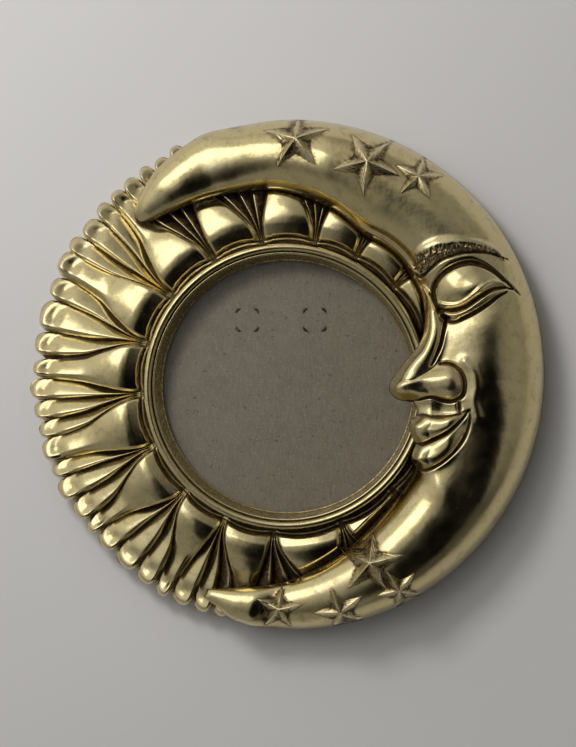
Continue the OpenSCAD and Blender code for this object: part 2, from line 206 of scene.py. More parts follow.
def antique_brass(name, bright=BRIGHT_BRASS, pale=PALE_BRASS, rough=0.19, wear=0.35):
    """Polished pale brass, mottled and speckled with patina, rubbed paler where the mesh's "rubbed"
    layer says, and darkened amber to dark brown where its dark layer says: patina in hollows, and
    painted shade beside and under the moon, round the stars and on the bezel's inner slope."""
    n = Nodes(name)
    hollow_and_shade = n.add("Attribute", attribute_name="wash_and_shade").outputs["Fac"]
    rubbed = n.add("Attribute", attribute_name="rubbed").outputs["Fac"]
    cloudy = n.noise(70, 4)
    fine = n.noise(900, 3)
    grain = n.noise(2600, 2)
    ragged = n.math("ADD", hollow_and_shade, n.remap(fine, 0.3, 0.7, -0.16, 0.16))
    amber = n.remap(ragged, 0.10, 0.50)
    wash_and_shade = n.remap(ragged, 0.34, 0.80)
    worn = n.math("MULTIPLY", n.remap(cloudy, 0.47, 0.68), wear)
    worn = n.math("MAXIMUM", worn, n.math("MULTIPLY", rubbed, n.remap(fine, 0.35, 0.6)))
    metal = n.mix(worn, bright, pale)
    patina = n.remap(n.noise(260, 6, 0.65), 0.48, 0.72)
    metal = n.over(metal, patina, 0.5, (0.36, 0.30, 0.15))
    specks = n.remap(n.noise(1500, 3, 0.6), 0.62, 0.70)
    metal = n.over(metal, specks, 0.5, (0.20, 0.15, 0.07))
    metal = n.over(metal, amber, 0.6, (0.36, 0.25, 0.085))
    # Towards this dark colour go the hollows' patina and the painted shade that the mesh's dark layer
    # marks.
    tarnish_and_shade = n.mix(n.remap(n.noise(320, 4), 0.35, 0.7), (0.022, 0.013, 0.006), (0.10, 0.052, 0.02))
    colour = n.mix(wash_and_shade, metal, tarnish_and_shade)
    gloss = n.math("ADD", n.remap(cloudy, 0.3, 0.75, rough - 0.03, rough + 0.07),
                   n.math("MULTIPLY", wash_and_shade, 0.26))
    gloss = n.math("ADD", gloss, n.math("MULTIPLY", patina, 0.07))
    metallic = n.math("SUBTRACT", 1.0, n.math("MULTIPLY", wash_and_shade, 0.55))
    ripple = n.math("ADD", n.noise(160, 2), n.math("MULTIPLY", grain, 0.09))
    return n.surface(n.add("BsdfPrincipled", Base_Color=colour, Metallic=metallic, Roughness=gloss,
                           Normal=n.bump(ripple, 0.11)))


def plated_steel(name):
    """Zinc-plated steel: grey, faintly spangled, with a few dull stains."""
    tint = (0.55, 0.54, 0.50)
    n = Nodes(name)
    spangle = n.add("TexVoronoi", Scale=700.0, Vector=n.place())
    stain = n.remap(n.noise(240, 5), 0.52, 0.72)
    dull = tuple(c * 0.82 for c in tint)
    cells = n.mix(n.remap(spangle.outputs["Distance"], 0.0, 0.8), tint, dull)
    colour = n.over(cells, stain, 0.6, (0.24, 0.20, 0.15))
    gloss = n.remap(n.noise(1400, 3), 0.3, 0.7, 0.28, 0.48)
    return n.surface(n.add("BsdfPrincipled", Base_Color=colour, Metallic=0.95, Roughness=gloss,
                           Normal=n.bump(n.noise(3000, 2), 0.02)))


def flocked(name):
    """Short black velvet pile, with brushed patches and specks of lint."""
    dark = (0.006, 0.005, 0.006)
    light = (0.030, 0.026, 0.030)
    n = Nodes(name)
    brushed = n.remap(n.noise(60, 3), 0.35, 0.65)
    pile = n.noise(6000, 2)
    lint = n.remap(n.noise(1500, 2), 0.70, 0.74)
    colour = n.over(dark, brushed, 0.5, light)
    colour = n.over(colour, lint, 0.5, (0.20, 0.19, 0.17))
    return n.surface(n.add("BsdfPrincipled", Base_Color=colour, Sheen_Weight=0.6, Sheen_Roughness=0.4,
                           Roughness=n.remap(pile, 0.3, 0.7, 0.85, 0.98), Normal=n.bump(pile, 0.12)))


def board_card(name):
    """Grey-brown pressed card: soft mottling, pale and dark specks, and painted shade in the
    prongs' slits, where the mesh's dark layer says."""
    n = Nodes(name)
    slit_shade = n.add("Attribute", attribute_name="wash_and_shade").outputs["Fac"]
    base = n.mix(n.remap(n.noise(150, 6, 0.7), 0.3, 0.7), (0.277, 0.230, 0.177), (0.321, 0.270, 0.210))
    stretched = n.add("Mapping", Scale=(1500, 260, 1000), Vector=n.place())
    fibres = n.add("TexNoise", Scale=1.0, Detail=3.0, Vector=stretched.outputs["Vector"]).outputs["Fac"]
    base = n.over(base, n.remap(fibres, 0.4, 0.7), 0.55, (0.365, 0.321, 0.257))
    dark = n.remap(n.noise(620, 3), 0.64, 0.70)
    # Moved along, so that the pale specks don't line up with the dark ones.
    beside = n.add("Mapping", Location=(0.3, 0.3, 0.3), Vector=n.place()).outputs["Vector"]
    light = n.remap(n.noise(1350, 2, at=beside), 0.60, 0.68)
    base = n.over(base, dark, 0.55, (0.10, 0.075, 0.055))
    base = n.over(base, light, 0.55, (0.50, 0.46, 0.385))
    # Painted shade: near black in the prongs' slits.
    colour = n.mix(slit_shade, base, (0.012, 0.008, 0.006))
    return n.surface(n.add("BsdfPrincipled", Base_Color=colour, Specular_IOR_Level=0.25,
                           Roughness=n.remap(fibres, 0.3, 0.7, 0.78, 0.92),
                           Normal=n.bump(n.noise(1800, 3), 0.05)))


def clear_glass(name):
    """Thin picture glass: it lets the board show and mirrors a little more at a slant."""
    n = Nodes(name)
    smear = n.remap(n.noise(45, 3), 0.45, 0.75)
    sheen = n.add("BsdfGlossy", Color=(0.92, 0.96, 0.95, 1.0),
                  Roughness=n.remap(smear, 0.0, 1.0, 0.02, 0.10))
    through = n.add("BsdfTransparent", Color=(0.95, 0.955, 0.945, 1.0))
    # Schlick's rule works the same from both sides of the pane, so light leaves it as it came in.
    slant = n.add("LayerWeight", Blend=0.5).outputs["Facing"]
    mirrored = n.math("ADD", n.math("MULTIPLY", n.math("POWER", slant, 5.0), 0.96), 0.04)
    both = n.add("MixShader", Fac=mirrored)
    n.feed(through.outputs[0], both.inputs[1])
    n.feed(sheen.outputs[0], both.inputs[2])
    return n.surface(both)


# ---- Meshes ----


def mesh_object(name, node, points, faces, material, layers, smooth=True):
    """A mesh from points in millimetres, riding on the frame in place of a CAD node."""
    mesh = bpy.data.meshes.new(name)
    mesh.from_pydata((np.asarray(points, float) * MM).tolist(), [], [list(f) for f in faces])
    mesh.validate()
    mesh.update()
    for layer, values in layers.items():
        attribute = mesh.attributes.new(layer, "FLOAT", "POINT")
        attribute.data.foreach_set("value", np.asarray(values, np.float32))
    mesh.polygons.foreach_set("use_smooth", [smooth] * len(mesh.polygons))
    mesh.materials.append(material)
    piece = bpy.data.objects.new(name, mesh)
    bpy.context.scene.collection.objects.link(piece)
    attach(piece, "frame")
    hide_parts(node)
    return piece


def closed_sheet(top, bottom):
    """Points and faces of a solid between two grids of points that share their edge's layout.

    top is columns x rows x 3, and bottom has the same columns and fewer rows, from the first
    row's edge to the last's."""
    columns, rows = top.shape[:2]
    under_rows = bottom.shape[1]
    points = np.concatenate([top.reshape(-1, 3), bottom.reshape(-1, 3)])
    first = columns * rows
    faces = grid_faces(columns, rows, 0, flip=False)
    faces += grid_faces(columns, under_rows, first, flip=True)
    for i in range(columns - 1):
        a, b = i * rows, (i + 1) * rows
        c, d = first + i * under_rows, first + (i + 1) * under_rows
        faces.append((a, c, d, b))
        faces.append((b + rows - 1, d + under_rows - 1, c + under_rows - 1, a + rows - 1))
    last = (columns - 1) * rows
    last_under = first + (columns - 1) * under_rows
    faces.append(tuple(range(first + under_rows - 1, first - 1, -1)) + tuple(range(rows)))
    faces.append(tuple(range(last_under, last_under + under_rows))
                 + tuple(range(last + rows - 1, last - 1, -1)))
    return points, faces


def with_underside(wash_and_shade, rubbed, bottom, bottom_wash):
    """The two layers of a closed sheet, whose underside is evenly washed and not rubbed."""
    spare = np.zeros(bottom.shape[0] * bottom.shape[1])
    return {"wash_and_shade": np.concatenate([wash_and_shade.ravel(), spare + bottom_wash]),
            "rubbed": np.concatenate([rubbed.ravel(), spare])}


def grid_faces(columns, rows, first, flip):
    """Quads between neighbouring points of a grid whose first point has that number."""
    i, j = np.meshgrid(np.arange(columns - 1), np.arange(rows - 1), indexing="ij")
    a = first + i * rows + j
    quads = np.stack([a, a + rows, a + rows + 1, a + 1], axis=-1).reshape(-1, 4)
    if flip:
        quads = quads[:, ::-1]
    return quads.tolist()


def polar(r, a, z):
    """Points at radius r and angle a in degrees round the opening, at height z."""
    turn = np.radians(a)
    x = CENTRE_X + r * np.cos(turn)
    y = CENTRE_Y + r * np.sin(turn)
    return np.stack([x, y, np.broadcast_to(z, x.shape)], axis=-1)


def angle_and_radius(p):
    """Angles from -180 to 180 degrees and radii of plan points round the opening's middle."""
    x, y = p[:, 0] - CENTRE_X, p[:, 1] - CENTRE_Y
    return np.degrees(np.arctan2(y, x)), np.hypot(x, y)


def bell(x, middle, width):
    """A smooth hump: 1 at its middle and about a third of that one width away."""
    return np.exp(-(((x - middle) / width) ** 2))


def smoothstep(x, low, high):
    """Rises smoothly from 0 at low to 1 at high."""
    t = np.clip((x - low) / (high - low), 0, 1)
    return t * t * (3 - 2 * t)


def blurred(grid, times):
    """The grid averaged with its neighbours, that many times."""
    for _ in range(times):
        padded = np.pad(grid, 1, mode="edge")
        grid = (padded[:-2, 1:-1] + padded[2:, 1:-1] + padded[1:-1, :-2] + padded[1:-1, 2:]
                + 4 * padded[1:-1, 1:-1]) / 8
    return grid


# ---- The sun ----

# Where the fans of flutes start, and where the broad rays between them end, as angles.
VALLEYS = [21, 43, 62, 79, 100, 120, 142, 163, 183, 204, 226, 245, 265, 292, 316, 338]
TIPS = [14, 32, 52, 71, 92, 116, 132, 151, 176, 195, 216, 238, 258, 281, 304, 327, 345]
FAN_START = 0.8
RAY_START = BEZEL_R + 0.5
FLUTES = 3
# Width of a broad ray's end, as a share of an even spacing.
RAY_END = 0.86
# How far the fingers on the left reach beyond the outline's circle.
SIDE_REACH = 2.8
# How far a finger's edge wanders at the rim, as a share of an even spacing.
EDGE_WANDER = 0.16
RAY_ROWS = 84
# The rounding of a finger's end, and the dish before it: its depth, place and length.
END_ROUND = 2.6
DISH_DEEP = 1.35
DISH_AT = 6.0
DISH_LONG = 2.8
# The moon hides the rays' ends outside these two angles.
COVER_END = 108
COVER_START = 258
# How far past the flange the rays are stepped up over it.
OVER_FLANGE = 2.6


def outline_at(a):
    """Distance from the opening's centre to the outline's circle."""
    drop = -CENTRE_Y
    turn = np.radians(a)
    return drop * np.sin(turn) + np.sqrt(OUTLINE_R**2 - (drop * np.cos(turn)) ** 2)


# Where columns of points lie across a flute, from groove (-1) over the crest to groove (1).
FLUTE_ACROSS = [-1, -0.94, -0.82, -0.62, -0.38, -0.12, 0.14, 0.36, 0.52, 0.63, 0.73, 0.82, 0.9, 0.96]
# Height of a broad ray's crest above the ring, from the bezel (0) to the outline (1).
RAY_LINE = [
    (0, 8.8), (0.08, 9.8), (0.12, 10.4), (0.16, 10.9), (0.2, 11), (0.27, 10.6), (0.35, 9.6),
    (0.42, 8.6), (0.52, 7), (0.6, 6.3), (0.7, 5.7), (0.8, 5.2), (0.9, 4.7), (1, 3.8)]
# The same for a flute.
FLUTE_LINE = [
    (0, 6.8), (0.05, 7.2), (0.1, 8), (0.2, 8.5), (0.33, 8), (0.5, 7.1), (0.75, 6.2), (0.88, 5.4),
    (1, 3.8)]
# How far the fans of flutes have opened along the rays, from closed (0) to as wide as at the rim.
SPREAD = [(0, 0), (0.1, 0.05), (0.2, 0.19), (0.35, 0.5), (0.55, 0.84), (0.8, 0.97), (1, 1)]


def leaning_ridge(x, crest, gentle, steep):
    """How far a lobe lies below its crest: a long slope up to it and a short drop beyond."""
    up = np.clip((crest - x) / (1 + crest), 0, 1)
    down = np.clip((x - crest) / (1 - crest), 0, 1)
    return gentle * up**1.3 + steep * down**1.5


def ray_columns():
    """For each column of points: its fan, its place among the fan's lobes, its place across its own
    lobe from -1 to 1, and its flute, which is 0 on a broad ray."""
    ray_across = np.sin(np.linspace(-1, 1, 29)[:-1] * math.pi / 2)
    columns = []
    for fan in range(1, len(VALLEYS)):
        columns += [(fan, x / 2, x, 0) for x in ray_across]
        for flute in range(1, FLUTES + 1):
            columns += [(fan, flute + x / 2, x, flute) for x in FLUTE_ACROSS]
    return (np.array(values) for values in zip(*columns))


def ray_layout(fan, place, x, flute):
    """Each column's angle at the bezel and at the rim, and its finger's extra length and height."""
    tips = np.array(TIPS, float)
    valleys = np.array(VALLEYS, float)
    on_ray = flute == 0
    # Each finger is a little longer, higher or broader than the next.
    finger = fan * (FLUTES + 1) + flute
    longer, higher, edge_shift, _ = rng.uniform(-1, 1, (4, finger.max() + 2))
    across = (x + 1) / 2
    wander = (edge_shift[finger] * (1 - across) + edge_shift[finger + 1] * across) * EDGE_WANDER
    # At the rim a broad ray is narrower than the flutes beside it.
    flute_width = (FLUTES + 1 - RAY_END) / FLUTES
    along_rim = np.where(on_ray, place * RAY_END, RAY_END / 2 + (place - 0.5) * flute_width)
    rim = tips[fan] + (tips[fan + 1] - tips[fan]) * (along_rim + wander) / (FLUTES + 1)
    ray_width = valleys[fan] - valleys[fan - 1] - 2 * FAN_START
    start = np.where(on_ray, valleys[fan - 1] + FAN_START + ray_width * (place + 0.5),
                     valleys[fan] - FAN_START + 2 * FAN_START * (place - 0.5) / FLUTES)
    return start, rim, longer[finger], higher[finger]


def ray_height(x, flute, u, to_end, higher):
    """Height of the rays before the bezel's gutter and the moon cut into them.

    u runs along a ray from 0 at the bezel to 1 at the outline, and to_end is how far its end is."""
    line = np.where(flute == 0, smooth_lookup(u, RAY_LINE), smooth_lookup(u, FLUTE_LINE))
    # Across: a broad ray starts as a pillow with crisp edges and ends as a leaning finger.
    side = np.abs(x)
    pillow = side**2 + 1.3 * smoothstep(side, 0.88, 1.0)
    to_finger = smoothstep(u, 0.34, 0.66)
    ray_cross = pillow + (leaning_ridge(x, 0.45, 2.6, 2.6) - pillow) * to_finger
    opening = smoothstep(u, 0.0, 0.34)
    flute_cross = opening * leaning_ridge(x, 0.6, 3.0, 3.0) + 0.4
    drop = np.where(flute == 0, ray_cross, flute_cross)
    # The ends round off, and dish a little just before.
    past = np.clip(1 - to_end / END_ROUND, 0, 1)
    end_round = END_ROUND * (1 - np.sqrt(np.clip(1 - past**2, 0, 1)))
    dish = DISH_DEEP * bell(to_end, DISH_AT, DISH_LONG) * np.clip(1.1 - side, 0, 1)
    return BASE_H + line - drop + 0.4 * higher * smoothstep(u, 0.3, 0.8) - end_round - dish


def under_the_moon(r, a, z, rim):
    """Radii and heights with the rays kept low, and most of them stopped, where the moon is."""
    inner = moon_inner_at(a)
    lowered = np.minimum(z, BASE_H + 7.0)
    z = np.where(near_moon_tips(a), z + (lowered - z) * smoothstep(r, inner - 3.5, inner - 0.5), z)
    covered = (a < COVER_END) | (a > COVER_START)
    stop = smoothstep(r, inner - 1.5, inner + 1.5)
    z = np.where(covered, z * (1 - stop) + np.minimum(z, BASE_H + 5.6) * stop, z)
    ends_hidden = (rim < COVER_END) | (rim > COVER_START)
    r = np.where(ends_hidden & covered, np.minimum(r, inner + 4), r)
    z = np.maximum(z, BASE_H + 0.9)
    return r, np.where(r < FLANGE_R + OVER_FLANGE, np.maximum(z, SEAT_Z + 0.6), z)


def near_moon_tips(a):
    """Whether an angle from 0 to 360 lies where the moon's tips come over the rays."""
    return (a > 107) & (a < 134) | (a > 245)


def ray_wash_and_shade(x, flute, u, r, a, z, gutter, bead):
    """How dark the rays are: a wash in grooves, gutter and hollows, and painted shade beside the moon's
    tips and on the short fans under its arms.
    """
    side = np.abs(x)
    inner = moon_inner_at(a)
    groove = np.where(flute == 0, smoothstep(side, 0.92, 1.0) * smoothstep(u, 0.06, 0.3),
                      np.maximum(smoothstep(x, 0.84, 0.97), smoothstep(-x, 0.86, 1.0)))
    # The short fans under the moon's arms get painted shade, all but their crests.
    shaded_fans = ((a < 134) | (a > 250)) & (flute > 0) & (r < inner + 1)
    groove = np.maximum(groove, 0.95 * smoothstep(np.abs(x - 0.6), 0.08, 0.34) * shaded_fans)
    # Painted shadow of the moon's tips on the rays just beside them.
    moon_shade = 1 - smoothstep(inner - r, 0.5, 3.0)
    moon_shade = moon_shade * near_moon_tips(a) * (r < moon_outer_at(a) - 1)
    in_gutter = gutter * (1 - 0.9 * bead)
    return np.clip(0.8 * groove + 0.8 * in_gutter + 0.7 * cavity(z, 6, 0.7) + 0.6 * moon_shade, 0, 1)


def ray_underside(r, a):
    """The rays' lower face: on the ring, and stepped up over the bezel's flange."""
    rows = r.shape[1]
    places = []
    for share in (0, 0.33, 0.55, 1.0):
        at = int(round(share * (rows - 1)))
        seat = np.where(r[:, max(at - 1, 0)] < FLANGE_R + OVER_FLANGE, SEAT_Z, BASE_H)
        places.append(polar(r[:, at], a[:, at], seat))
    return np.stack(places, axis=1)


def sun_rays(material):
    fan, place, x, flute = ray_columns()
    layout = ray_layout(fan, place, x, flute)
    start, rim, longer, higher, x, flute = (values[:, None] for values in (*layout, x, flute))
    side = np.abs(x)
    reach = outline_at(rim) + SIDE_REACH * bell(rim, 184, 42)
    # The rounded end of each finger, and the notch beside it.
    half_width = np.where(flute == 0, 4.6, 5.0)
    rounded = np.sqrt(np.clip(1 - side**2.4, 0, 1))
    notch = half_width * (1 - rounded) + 0.8 - 0.8 * longer
    length = reach - notch - RAY_START
    v = np.linspace(0, 1, RAY_ROWS)[None, :]
    v = v - 0.045 * np.sin(2 * math.pi * v)  # closer rows at both ends
    r = RAY_START + length * v
    u = (r - RAY_START) / (reach - RAY_START)
    a = start + (rim - start) * smooth_lookup(u, SPREAD)
    z = ray_height(x, flute, u, (1 - v) * length, higher)
    # Beside the bezel a gutter with a fine bead along it; the pillow starts at a crisp scallop.
    from_bezel = r - RAY_START
    scallop = 1.8 + 0.9 * (1 - side**2) * (flute == 0)
    gutter = 1 - smoothstep(from_bezel, scallop, scallop + 0.5)
    from_bead = from_bezel - scallop + 0.9
    gutter_z = BASE_H + 6.6 + 1.1 * bell(from_bead, 0, 0.42)
    z = z + (np.minimum(gutter_z, z) - z) * gutter
    r, z = under_the_moon(r, a, z, rim)
    wash_and_shade = ray_wash_and_shade(x, flute, u, r, a, z, gutter, bell(from_bead, 0, 0.45))
    rubbed = np.clip(cavity(-z, 6, 0.55) + 0.5 * smoothstep(u, 0.9, 0.98), 0, 1)
    bottom = ray_underside(r, a)
    points, faces = closed_sheet(polar(r, a, z), bottom)
    layers = with_underside(wash_and_shade, rubbed, bottom, 0.4)
    return mesh_object("sun_rays_cast", "sun_rays", points, faces, material, layers)


def smooth_lookup(x, table):
    """Values between the table's points on a smooth curve (monotone cubic)."""
    table = np.asarray(table, float)
    px, py = table[:, 0], table[:, 1]
    slope = np.diff(py) / np.diff(px)
    at = np.zeros(len(px))
    same = slope[:-1] * slope[1:] > 0
    at[1:-1] = np.where(same, 2 * slope[:-1] * slope[1:] / (slope[:-1] + slope[1:] + 1e-12), 0)
    at[0], at[-1] = slope[0], slope[-1]
    x = np.clip(x, px[0], px[-1])
    k = np.clip(np.searchsorted(px, x, side="right") - 1, 0, len(px) - 2)
    h = px[k + 1] - px[k]
    t = (x - px[k]) / h
    return (py[k] * (1 + 2 * t) * (1 - t) ** 2 + at[k] * h * t * (1 - t) ** 2
            + py[k + 1] * t * t * (3 - 2 * t) + at[k + 1] * h * t * t * (t - 1))


def cavity(z, times, scale):
    """How far each point of a grid lies below its neighbourhood, from 0 to 1."""
    return np.clip((blurred(z, times) - z) / scale, 0, 1)


# ---- The moon ----

# The inner edge, from the lower tip past the lips and the nose to the upper tip, as x and y.
MOON_EDGE = [
    (-29.3, -79), (-19.7, -78.5), (-7.6, -77.5), (4.9, -74.2), (19.9, -65.8), (33.9, -52.8),
    (40.7, -44.9), (46.4, -36.6), (47.4, -33.6), (46, -30.6), (46.6, -27.6), (47.4, -25.2),
    (46.2, -22.4), (45.2, -19.2), (45.8, -16.8), (47.5, -15), (47.8, -12.2), (46.4, -9.9),
    (42.4, -9.5), (39.4, -8), (38, -5.2), (38.6, -2.4), (41, 1.2), (44.8, 6.1),
    (48.2, 9.8), (50.2, 14.3), (50.8, 18), (50.8, 22), (50, 26.4), (48, 31.4),
    (45.7, 35.6), (43.2, 39.8), (39.8, 43.6), (35, 47.3), (28.8, 50.6), (16.2, 60.7),
    (-3, 67.4), (-16.8, 66.9), (-28.5, 64.9), (-38.3, 61.3), (-45, 58.7), (-50.6, 56.6),
    (-53.6, 56), (-56, 57.2)]
# How far inside the outline the outer edge lies, by angle.
MOON_TAPER = [
    (-111.3, 7.6), (-107.5, 5.8), (-103.6, 3.1), (-99, 2), (-94, 1.3), (-88, 0.7), (-60, 0.4),
    (-20, 0.9), (10, 1), (40, 0.6), (90, 0.9), (108.7, 1.6), (113.5, 3), (117.6, 4.2),
    (121.8, 5.7), (126.3, 8.7), (129.1, 10.6), (131.3, 12.8), (132.4, 15)]


def spline(points, count):
    """Points on a smooth curve through the given ones (Catmull-Rom, centripetal)."""
    p = np.asarray(points, float)
    p = np.vstack([2 * p[0] - p[1], p, 2 * p[-1] - p[-2]])
    knots = np.concatenate([[0], np.cumsum(np.linalg.norm(np.diff(p, axis=0), axis=1) ** 0.5)])
    t = np.linspace(knots[1], knots[-2], count)
    k = np.clip(np.searchsorted(knots, t, side="right") - 1, 1, len(p) - 3)
    k0, k1, k2, k3 = (knots[k + d][:, None] for d in (-1, 0, 1, 2))
    p0, p1, p2, p3 = (p[k + d] for d in (-1, 0, 1, 2))
    t = t[:, None]
    a1 = (k1 - t) / (k1 - k0) * p0 + (t - k0) / (k1 - k0) * p1
    a2 = (k2 - t) / (k2 - k1) * p1 + (t - k1) / (k2 - k1) * p2
    a3 = (k3 - t) / (k3 - k2) * p2 + (t - k2) / (k3 - k2) * p3
    b1 = (k2 - t) / (k2 - k0) * a1 + (t - k0) / (k2 - k0) * a2
    b2 = (k3 - t) / (k3 - k1) * a2 + (t - k1) / (k3 - k1) * a3
    return (k2 - t) / (k2 - k1) * b1 + (t - k1) / (k2 - k1) * b2


edge_fine = spline(MOON_EDGE, 2400)
edge_angle, edge_radius = angle_and_radius(edge_fine)
edge_order = np.argsort(edge_angle)
FIRST_ANGLE = edge_angle[edge_order[0]]


def moon_inner_at(a):
    """Distance of the moon's inner edge, for an angle from 0 to 360 or from -180 to 180."""
    a = np.where(np.asarray(a) > 180, np.asarray(a) - 360, a)
    return np.interp(a, edge_angle[edge_order], edge_radius[edge_order])


def moon_outer_at(a):
    return outline_at(a) - np.interp(a, *np.transpose(MOON_TAPER))


def stroke(p, route, widths, height, power=2.0):
    """A rounded ridge (or groove, where height is negative) along a smooth route over points p.

    widths are half widths along the route, evenly spaced."""
    curve = spline(route, 90)
    width = np.interp(np.linspace(0, 1, 90), np.linspace(0, 1, len(widths)), widths)
    best = np.full(len(p), 1e9)
    for point, w in zip(curve, width):
        best = np.minimum(best, np.hypot(p[:, 0] - point[0], p[:, 1] - point[1]) / max(w, 1e-3))
    return height * np.exp(-(best**power) * 0.9)


def dome(p, x, y, half_length, half_width, turn, height, power=2.0):
    """A round swelling; a power above 2 gives it a flatter top and steeper sides."""
    c, s = math.cos(math.radians(turn)), math.sin(math.radians(turn))
    dx, dy = p[:, 0] - x, p[:, 1] - y
    d = np.hypot((dx * c + dy * s) / half_length, (dy * c - dx * s) / half_width)
    return height * np.exp(-(d**power))


def fold(p, route, half_width, depth, last=0.6):
    """A narrow groove along a route: how deep it is at points p, and how dark.

    last is the share of the half width that is left at the route's end."""
    ends = [half_width * 0.6] + [half_width] * 4 + [half_width * (1 + last) / 2, half_width * last]
    share = stroke(p, route, ends, 1.0)
    return -depth * share, share


def nose(p):
    """The bridge, which runs down into a round bar that ends in the nostril."""
    bridge = stroke(p, [(49.8, 30), (53.2, 23), (54.1, 16), (52.6, 10.8), (49.4, 5.2), (45.4, 0)],
                    [1.6, 2.6, 3.3, 3.8, 4.6, 4.4], 3.0, 3.4)
    bar = stroke(p, [(41.2, -5.2), (46.3, -4.8), (51.8, -4.0), (58.8, -3.0)],
                 [4.0, 4.2, 4.4, 5.3], 3.3, 3.2)
    nostril = dome(p, 59.4, -2.8, 5.0, 4.6, 0, 0.55, 3.0)
    below = stroke(p, [(53.6, -9.6), (53.2, -14.6)], [2.4, 2.4], 0.9)
    return np.maximum(bridge, bar) + 0.25 * np.minimum(bridge, bar) + nostril + below


def mouth(p):
    """The two lips, which fade towards the corner of the mouth."""
    upper = [(47, -20.0), (50.8, -19.6), (54.6, -18.9), (59, -17.6), (63.3, -15.3), (66.2, -13.2)]
    upper = stroke(p, upper, [4.2, 4.6, 3.7, 2.6, 1.4, 0.6], 3.0, 3.2)
    lower = [(48.4, -29.2), (52.4, -28.5), (56.8, -26.1), (61.2, -22.2), (64.6, -17.4), (66.4, -13.6)]
    lower = stroke(p, lower, [4.0, 4.6, 4.1, 2.9, 1.6, 0.6], 2.9, 3.2)
    return np.maximum(upper, lower) * (1 - 0.85 * smoothstep(p[:, 0], 59, 66.5))


def cheek_and_chin(p):
    """The roll beside the mouth, the cheek and the chin."""
    beside_mouth = stroke(p, [(65.2, 4.6), (68.4, 0.6), (69.2, -4.4), (68.4, -9.4), (69.6, -15)],
                          [1.6, 2.0, 2.2, 2.0, 2.2], 0.9)
    cheek = dome(p, 72.8, 2, 9, 16, 10, 1.2)
    chin = dome(p, 54.8, -39, 10, 5, -40, 1.2)
    return beside_mouth + cheek + chin


def eye(p):
    """The socket, the ball, the swelling at its outer corner and the two lids' rolls."""
    socket = dome(p, 66.8, 30, 18, 10, 22, -2.2, 3.0)
    ball = dome(p, 65.4, 31.4, 10.6, 6.9, 14, 3.5, 3.2)
    corner = dome(p, 72.8, 31.6, 8.6, 3.4, 10, 1.2, 2.6)
    upper_roll = stroke(p, [(56.8, 25.2), (59.5, 24.7), (62.7, 24.9), (65.8, 26.4), (69, 28.8),
                            (72.2, 31.6), (75.3, 33.0), (80, 32.4)],
                        [0.5, 0.7, 0.7, 0.7, 0.7, 0.7, 0.6, 0.4], 0.9)
    lower_roll = stroke(p, [(57.8, 21.6), (61.4, 21.2), (65.2, 22.3), (69, 24.6), (73.2, 27.4),
                            (76.9, 29.2), (80.2, 30.3)], [0.7, 1.0, 1.1, 1.1, 1.0, 0.8, 0.4], 1.7)
    return socket + ball + corner + upper_roll + lower_roll


# The folds of the face: route, half width, depth and, where it isn't the usual, the last share.
FOLDS = [
    # Beside the bridge, round the nostril and under the nose.
    ([(58.7, 20.6), (57.7, 15.9), (56.6, 10.8), (54.7, 6), (53.4, 3.4)], 0.55, 2),
    ([(56.4, 3.9), (59.6, 3.9), (62.6, 2.3), (64.5, -0.6), (65.1, -4.2), (64.1, -7.7),
      (60.7, -9.5), (56.9, -9.2), (53, -8.1), (49.4, -8.9), (45.3, -10)], 0.6, 1.8),
    ([(63.2, -9.6), (63.4, -13.8)], 0.55, 1.2),
    # Over the upper lip, between the lips and under the lower one.
    ([(46.8, -14.6), (50.4, -14.6), (54.5, -15.3), (58.9, -15.1), (63, -14.3), (66.4, -12.8)],
     0.45, 1.1),
    ([(45.3, -24.3), (50.4, -25), (54.2, -23.3), (59, -20.9), (64, -16.2), (66.8, -12.6)], 0.5, 2),
    ([(46.8, -33.8), (50.6, -34.4), (55.8, -32.2), (61, -28), (64.8, -22.8), (66.8, -17.6),
      (67.1, -12.8)], 0.55, 1.5, 0.3),
    # Over the eyeball, and the two lid lines.
    ([(59, 20), (56.2, 22.7), (54.4, 25.9), (53.9, 28.8), (54.7, 32.7), (56.9, 35.6),
      (60.1, 37.9), (63.9, 39.5), (67.7, 40), (71.5, 39), (75.3, 36.9), (78.9, 33.9),
      (81.9, 31.3), (84.8, 28.6)], 0.75, 2.2, 0.2),
    ([(56.2, 23.4), (61.1, 22.9), (65.2, 23.9), (69, 26.3), (72.2, 28.7), (75.3, 30.5),
      (79.1, 31), (82.3, 30.6)], 0.5, 1.7),
    ([(57.2, 21), (59.5, 19), (61.5, 18.7), (65.2, 20.3), (69, 22.2), (73.8, 25.3),
      (76.9, 27.7), (80.1, 29.6)], 0.5, 1.4),
    # Under the brow.
    ([(47.6, 36), (49.4, 34.9), (52.1, 36.9), (56.3, 40.4), (60.1, 42), (64.3, 43.1),
      (69.1, 43.6), (73.9, 43.3), (77.4, 42.3), (80.4, 41.4)], 0.5, 1)]


def face_relief(p):
    """Height that the face adds to the moon at points p, and how far each lies in a fold."""
    z = nose(p) + mouth(p) + cheek_and_chin(p) + eye(p)
    dark = np.zeros(len(p))
    for values in FOLDS:
        height, share = fold(p, *values)
        z += height
        dark = np.maximum(dark, share)
    return z, dark


# The brow's middle line, and its half widths along it.
BROW = [
    (49.2, 37.8), (50.8, 41.4), (55.2, 44.2), (60, 45.4), (65.7, 46), (71.4, 45.6), (76, 44),
    (79.2, 41.4)]
BROW_WIDTHS = [3.4, 3.9, 3.7, 3.2, 2.7, 2.2, 1.6, 0.6]


